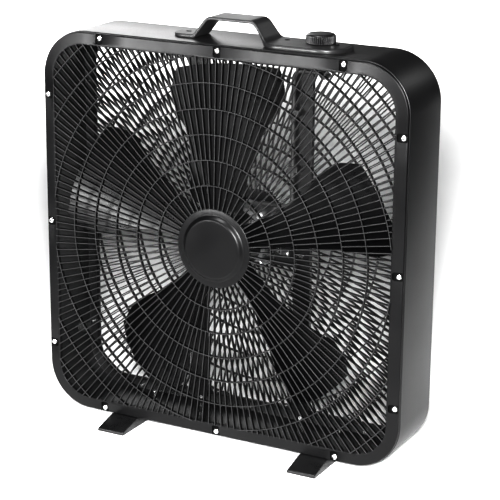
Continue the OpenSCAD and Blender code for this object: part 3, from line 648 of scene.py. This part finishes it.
def dress_handle():
    """Arched strap that runs on into the pad at the left and the control plate at the right."""
    pad_t, plate_t, strap_t = 4.5, 6.0, 4.2
    grip, mid_h, leg_x = 29.5, 20.0, -40.0
    slope = math.radians(51)
    mirror = 3.6  # twice the arch's middle: x on the left leg is mirror - x on the right one
    end_r, edge_r, low_edge_r = 2.0, 2.6, 1.2
    shift = strap_t / math.sin(slope)
    outer_x = [leg_x + (h - mid_h) / math.tan(slope) for h in (pad_t, plate_t, grip)]
    inner_x = [leg_x + shift + (h - mid_h) / math.tan(slope) for h in (0.0, grip - strap_t)]
    outer = corner_points([(PAD_END, pad_t, 0), (outer_x[0], pad_t, 12), (outer_x[2], grip, 14),
                           (mirror - outer_x[2], grip, 14), (mirror - outer_x[1], plate_t, 12),
                           (PLATE_END, plate_t, 0)])
    inner = corner_points([(PAD_END, 0, 0), (inner_x[0], 0, 3), (inner_x[1], grip - strap_t, 9),
                           (mirror - inner_x[1], grip - strap_t, 9), (mirror - inner_x[0], 0, 3),
                           (PLATE_END, 0, 0)])
    front_edge, back_edge = handle_edges()
    # stations bunch up over the rounded ends, below share 0.075 and above 0.90
    share = np.concatenate([np.linspace(0, 0.075, 16)[:-1], np.linspace(0.075, 0.90, 169),
                            np.linspace(0.90, 1, 17)[1:]])
    share[:15] = 0.075 * (1 - np.cos(np.linspace(0, math.pi / 2, 16)))[:-1]
    share[-16:] = 1 - 0.10 * (1 - np.cos(np.linspace(math.pi / 2, 0, 17)))[1:]
    rings = []
    for (xo, zo), (xi, zi) in zip(along(outer, share), along(inner, share)):
        x_plan = min(max((xo + xi) / 2, PAD_END + 0.02), PLATE_END - 0.02)
        front = max(float(np.interp(x_plan, front_edge[:, 0], front_edge[:, 1])), 0.6)
        rear = max(float(np.interp(x_plan, back_edge[:, 0], back_edge[:, 1])), 0.6)
        to_end = min(x_plan - PAD_END, PLATE_END - x_plan)
        if to_end < end_r:
            zo -= end_r - math.sqrt(end_r**2 - (end_r - to_end) ** 2)
        v = np.array([xo - xi, zo - zi])
        size = np.linalg.norm(v)
        v = v / max(size, 1e-6)
        r = min(0.46 * size, edge_r, 0.45 * front, 0.45 * rear)
        low_r = min(0.30 * size, low_edge_r, r)
        ring = [(xo, y, zo) for y in np.linspace(-(front - r), rear - r, 25)]
        side = []
        for a in np.radians(np.arange(15, 91, 15)):
            p = np.array([xo, zo]) - v * r * (1 - math.cos(a))
            side.append((p[0], r * (1 - math.sin(a)), p[1]))
        for a in np.radians([90, 60, 30, 0]):
            p = np.array([xi, zi]) + v * low_r * (1 - math.cos(a))
            side.append((p[0], low_r * (1 - math.sin(a)), p[1]))
        ring += [(x, rear - inset, z) for x, inset, z in side]
        ring += [(xi, (rear - front) / 2, zi)]
        ring += [(x, -front + inset, z) for x, inset, z in side[::-1]]
        rings.append([(x, y, TOP + z) for x, y, z in ring])
    body = Build()
    body.loft(rings)
    obj = body.make("handle_strap", 40)
    obj.data.materials.append(MAT["handle_plastic"])
    holes = Build()
    hole_r, seat_h = 3.6, 1.5
    for x in (-69.4, 72.8, 142.2):
        holes.loft([[(x + hole_r * math.cos(t), hole_r * math.sin(t), TOP + z) for t in circle(32)]
                    for z in (seat_h, 12.0)])
    cutter = holes.make("hole_cutter")
    cutter.data.materials.append(MAT["pocket_shade"])
    carve(obj, cutter)
    shade(obj, 40)
    wear(obj, "handle", "housing", MAT["handle_plastic"])


dress_handle()


# ---------------------------------------------------------------- knob
def dress_knob():
    """Ridged cap with a domed top and a pointer groove."""
    low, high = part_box("knob")
    base, height = low.z / MM, (high.z - low.z) / MM
    cx, cy = (low.x + high.x) / 2 / MM, (low.y + high.y) / 2 / MM
    r = (high.x - low.x) / 2 / MM
    ridges, per, ridge_depth = 42, 12, 1.5
    angles = circle(ridges * per)
    wave = (0.5 + 0.5 * np.cos(angles * ridges)) ** 0.75
    rows = [(0.0, r - 1.3, 0.0), (0.5, r - 0.95, 0.0), (0.7, r, 1.0)]
    rows += [(z, r, 1.0) for z in np.linspace(1.4, height - 3.2, 5)]
    rows += [(height - 2.7, r - 0.15, 0.9), (height - 2.3, r - 0.5, 0.5), (height - 2.0, r - 0.9, 0.0)]
    rows += [(height - 1.25, r - 1.35, 0.0), (height - 0.7, r - 1.9, 0.0), (height - 0.35, r - 2.8, 0.0),
             (height - 0.18, r - 4.2, 0.0), (height - 0.05, r * 0.55, 0.0), (height, r * 0.28, 0.0)]
    points, faces = [], []
    m = len(angles)
    for z, rad, deep in rows:
        for a, w in zip(angles, wave):
            rr = rad - ridge_depth * deep * (1 - w)
            points.append((cx + rr * math.cos(a), cy + rr * math.sin(a), base + z))
    for i in range(len(rows) - 1):
        for j in range(m):
            k = (j + 1) % m
            faces.append([i * m + j, i * m + k, (i + 1) * m + k, (i + 1) * m + j])
    points += [(cx, cy, base), (cx, cy, base + height)]
    under, crown = len(points) - 2, len(points) - 1
    for j in range(m):
        k = (j + 1) % m
        faces.append([under, k, j])
        faces.append([crown, (len(rows) - 1) * m + j, (len(rows) - 1) * m + k])
    build = Build()
    build.add(points, faces)
    obj = build.make("knob_cap", 50)
    # moulded pointer groove, towards the back when the fan is off
    groove = Build()
    slot = np.concatenate([arc((0, 0), 0.9, -90, 90, 8) + [r - 3.2, 0],
                           arc((0, 0), 0.9, 90, 270, 8) + [r - 9.5, 0]])
    turn = math.radians(118)
    c, s = math.cos(turn), math.sin(turn)
    outline = [(cx + x * c - y * s, cy + x * s + y * c) for x, y in slot]
    groove.loft([[(x, y, base + z) for x, y in outline] for z in (height - 0.9, height + 2)])
    carve(obj, groove.make("groove_cutter"))
    shade(obj, 45)
    wear(obj, "knob", "knob", MAT["knob_plastic"])


dress_knob()


# ---------------------------------------------------------------- feet
def dress_foot(node):
    """Wedge foot: level under the band, falling to a rounded tip at the front and back."""
    low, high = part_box(node)
    x0, x1 = low.x / MM, high.x / MM
    tip, rise = high.y / MM, high.z / MM
    shoulder = BODY_DEPTH / 2 - 1.0
    tip_h, nose = 4.5, 1.6
    ys = np.concatenate([[-tip, -tip + 0.25, -tip + 0.9, -tip + 2.0], np.linspace(-tip + 4, -shoulder - 1, 7),
                         np.linspace(-shoulder, shoulder, 9),
                         np.linspace(shoulder + 1, tip - 4, 7), [tip - 2.0, tip - 0.9, tip - 0.25, tip]])
    rings = []
    for y in ys:
        out = tip - abs(y)
        ramp = min(1.0, out / (tip - shoulder))
        top = tip_h + (rise - tip_h) * ramp
        if out < nose:
            top -= nose - math.sqrt(max(nose**2 - (nose - out) ** 2, 0.0))
        bottom = 0.0 if out > 0.6 else 0.6 - out
        r = min(1.3, (top - bottom) * 0.45)
        ring = [(x0 + 0.4, bottom), (x0, bottom + 0.4), (x0, top - r)]
        ring += [(x0 + r * (1 - math.cos(a)), top - r + r * math.sin(a)) for a in np.radians([22, 45, 68])]
        ring += [(x0 + r, top), ((x0 + x1) / 2, top), (x1 - r, top)]
        ring += [(x1 - r * (1 - math.cos(a)), top - r + r * math.sin(a)) for a in np.radians([68, 45, 22])]
        ring += [(x1, top - r), (x1, bottom + 0.4), (x1 - 0.4, bottom)]
        rings.append([(x, y, z) for x, z in ring])
    build = Build()
    build.loft(rings)
    obj = build.make(node + "_moulding", 40)
    cutter = Build()
    mid, well_r = (x0 + x1) / 2, 4.2
    for y in (-32.0, 32.0):
        cutter.loft([[(mid + well_r * math.cos(t), y + well_r * math.sin(t), z) for t in circle(28)]
                     for z in (-2.0, rise - 4.0)])
    carve(obj, cutter.make("foot_cutter"))
    shade(obj, 40)
    wear(obj, node, "housing", MAT["foot_plastic"])


for side in ("left_foot", "right_foot"):
    dress_foot(side)


# ---------------------------------------------------------------- screws
def screw_head():
    """Pan head with a crossed recess, as a mesh whose face looks along -Y from the origin."""
    build = Build()
    dome = [(0.0, -2.55), (1.4, -2.52), (2.5, -2.3), (3.3, -1.85),
            (3.75, -1.2), (3.95, -0.55), (4.0, 0.0), (0.0, 0.0)]
    angles = circle(28)
    points, faces = [], []
    rows = dome[1:-1]
    for r, y in rows:
        points += [(r * math.cos(a), y, r * math.sin(a)) for a in angles]
    points += [(0, dome[0][1], 0), (0, 0, 0)]
    n = len(angles)
    for i in range(len(rows) - 1):
        faces += [[i * n + j, i * n + (j + 1) % n, (i + 1) * n + (j + 1) % n, (i + 1) * n + j]
                  for j in range(n)]
    faces += [[len(points) - 2, (j + 1) % n, j] for j in range(n)]
    faces += [[len(points) - 1, (len(rows) - 1) * n + j, (len(rows) - 1) * n + (j + 1) % n] for j in range(n)]
    build.add(points, faces)
    obj = build.make("screw_head_model", 50)
    w, arm = 0.42, 1.75
    plus = [(w, w), (arm, w), (arm, -w), (w, -w), (w, -arm), (-w, -arm),
            (-w, -w), (-arm, -w), (-arm, w), (-w, w), (-w, arm), (w, arm)]
    cross = Build()
    cross.loft([[(x * s, y, z * s) for x, z in plus] for y, s in ((-4.0, 1.25), (-1.3, 0.55))])
    carve(obj, cross.make("cross_cutter"))
    mesh = obj.data
    verts = np.array([v.co for v in mesh.vertices]) / MM
    polys = [list(p.vertices) for p in mesh.polygons]
    bpy.data.objects.remove(obj)
    return verts, polys


def dress_screws(node, seat_depth, flip):
    """Twelve frame screws of one face, each turned by its own random angle."""
    verts, polys = screw_head()
    build = Build()
    rng = np.random.default_rng(7 if flip else 3)
    way = -1 if flip else 1
    seat_y, shank_r, shank_end = place_depth(seat_depth), 1.75, 8.0
    shank = [(shank_r * math.cos(t), shank_r * math.sin(t)) for t in circle(16)]
    for side in range(4):
        a = side * math.pi / 2
        for place in (-1, 0, 1):
            spin = rng.uniform(0, math.pi)
            x, z = place * SCREW_PITCH, SCREW_AT
            cx, cz = x * math.cos(a) + z * math.sin(a), z * math.cos(a) - x * math.sin(a)
            c, s = math.cos(spin), math.sin(spin)
            px = verts[:, 0] * c - verts[:, 2] * s
            pz = verts[:, 0] * s + verts[:, 2] * c
            build.add(np.stack([cx + px, seat_y + way * verts[:, 1], AXIS_Z + cz + pz], 1), polys)
            build.loft([[(cx + u, seat_y + way * d, AXIS_Z + cz + v) for u, v in shank]
                        for d in (-0.2, shank_end)])
    obj = build.make(node + "_heads", 35)
    wear(obj, node, "housing", MAT["zinc_screw"])


dress_screws("front_screws", 3.0, False)
dress_screws("rear_screws", BODY_DEPTH - 1.2, True)


# ---------------------------------------------------------------- camera
eye = Vector((1070.5, FRONT_Y - 1920.7, AXIS_Z + 665.4)) * MM
yaw, pitch, roll = math.radians(27.98), math.radians(16.91), math.radians(0.47)
focal_px, image_px = 1779.7, 500.0
back = Vector((math.sin(yaw) * math.cos(pitch), -math.cos(yaw) * math.cos(pitch), math.sin(pitch)))
right = (-back).cross(Vector((0, 0, 1))).normalized()
up = right.cross(-back)
rolled_right = right * math.cos(roll) + up * math.sin(roll)
rolled_up = up * math.cos(roll) - right * math.sin(roll)
camera_data = bpy.data.cameras.new("photo_camera")
camera_data.sensor_width = 36.0
camera_data.lens = focal_px / image_px * camera_data.sensor_width
camera_data.clip_start, camera_data.clip_end = 0.05, 60.0
camera = bpy.data.objects.new("photo_camera", camera_data)
turn = Matrix((rolled_right, rolled_up, back)).transposed().to_4x4()
camera.matrix_world = Matrix.Translation(eye) @ turn
bpy.context.scene.collection.objects.link(camera)
bpy.context.scene.camera = camera


# ---------------------------------------------------------------- studio
def stage_floor():
    """Pale paper floor."""
    mesh = bpy.data.meshes.new("studio_floor")
    size = 14.0
    corners = [(-size, -size, 0), (size, -size, 0), (size, size, 0), (-size, size, 0)]
    mesh.from_pydata(corners, [], [[0, 1, 2, 3]])
    floor = bpy.data.objects.new("studio_floor", mesh)
    bpy.context.scene.collection.objects.link(floor)
    mat, tree, shader = nodes_of("floor_paper")
    spot = where(tree)
    cloud = remap(tree, noise(tree, spot, 3.0), 0.3, 0.7, 0.0, 1.0)
    tone = mixed(tree, cloud, (0.90, 0.90, 0.90), (0.93, 0.93, 0.93))
    tree.links.new(tone, shader.inputs["Base Color"])
    shader.inputs["Roughness"].default_value = 0.9
    shader.inputs["Specular IOR Level"].default_value = 0.1
    mesh.materials.append(mat)


def hang(light, at, toward):
    """Places a lamp, aims it and keeps it out of the camera's view."""
    obj = bpy.data.objects.new(light.name, light)
    obj.location = at
    obj.rotation_euler = (Vector(toward) - Vector(at)).to_track_quat("-Z", "Y").to_euler()
    obj.visible_camera = False
    bpy.context.scene.collection.objects.link(obj)


def softbox(name, at, toward, size, power, spread):
    """Flat rectangular lamp; the spread of its beam is in degrees."""
    light = bpy.data.lights.new(name, "AREA")
    light.shape, light.size, light.size_y = "RECTANGLE", size[0], size[1]
    light.energy, light.spread = power, math.radians(spread)
    hang(light, at, toward)


def main_lamp(name, at, toward, power):
    """Soft lamp whose strength is the same near and far, as a distant lamp's is."""
    light = bpy.data.lights.new(name, "SPOT")
    light.energy, light.shadow_soft_size = power, 0.12
    light.spot_size, light.spot_blend = math.radians(46), 0.35
    light.use_nodes = True
    tree = light.node_tree
    falloff = tree.nodes.new("ShaderNodeLightFalloff")
    falloff.inputs["Strength"].default_value = 0.16
    tree.links.new(falloff.outputs["Constant"], tree.nodes["Emission"].inputs["Strength"])
    hang(light, at, toward)


# name, place, aim, size, power, spread
SOFTBOXES = [
    ("far_floor", (-2.2, 3.7, 2.2), (-2.2, 3.71, 0.0), (4.8, 2.0), 150.0, 80),
    ("left_floor", (-2.0, 1.7, 1.7), (-2.0, 1.71, 0.0), (1.2, 1.0), 14.0, 60),
    ("key_front_left", (-1.0, -1.95, 0.56), (0.0, 0.0, 0.50), (0.9, 0.4), 4.6, 40),
    ("overhead", (-0.2, -0.8, 2.3), (0.0, -0.2, 0.3), (0.5, 0.4), 2.6, 36),
    ("top_back_left", (-1.9, 1.9, 1.35), (0.0, 0.0, 0.50), (1.8, 0.9), 3.5, 46),
    ("back_right", (0.95, 2.0, 1.40), (0.05, 0.0, 0.56), (1.0, 0.6), 0.16, 30),
]

stage_floor()
main_lamp("main_soft", eye + Vector((-0.015, 0.0, 0.08)), (-0.12, 0.30, 0.24), 1120.0)
for row in SOFTBOXES:
    softbox(*row)

world = bpy.data.worlds.new("studio_world")
world.use_nodes = True
world.node_tree.nodes["Background"].inputs["Color"].default_value = (0.95, 0.97, 1.0, 1.0)
world.node_tree.nodes["Background"].inputs["Strength"].default_value = 0.018
bpy.context.scene.world = world
bpy.context.scene.view_settings.view_transform = "Standard"
bpy.context.scene.view_settings.gamma = 0.78
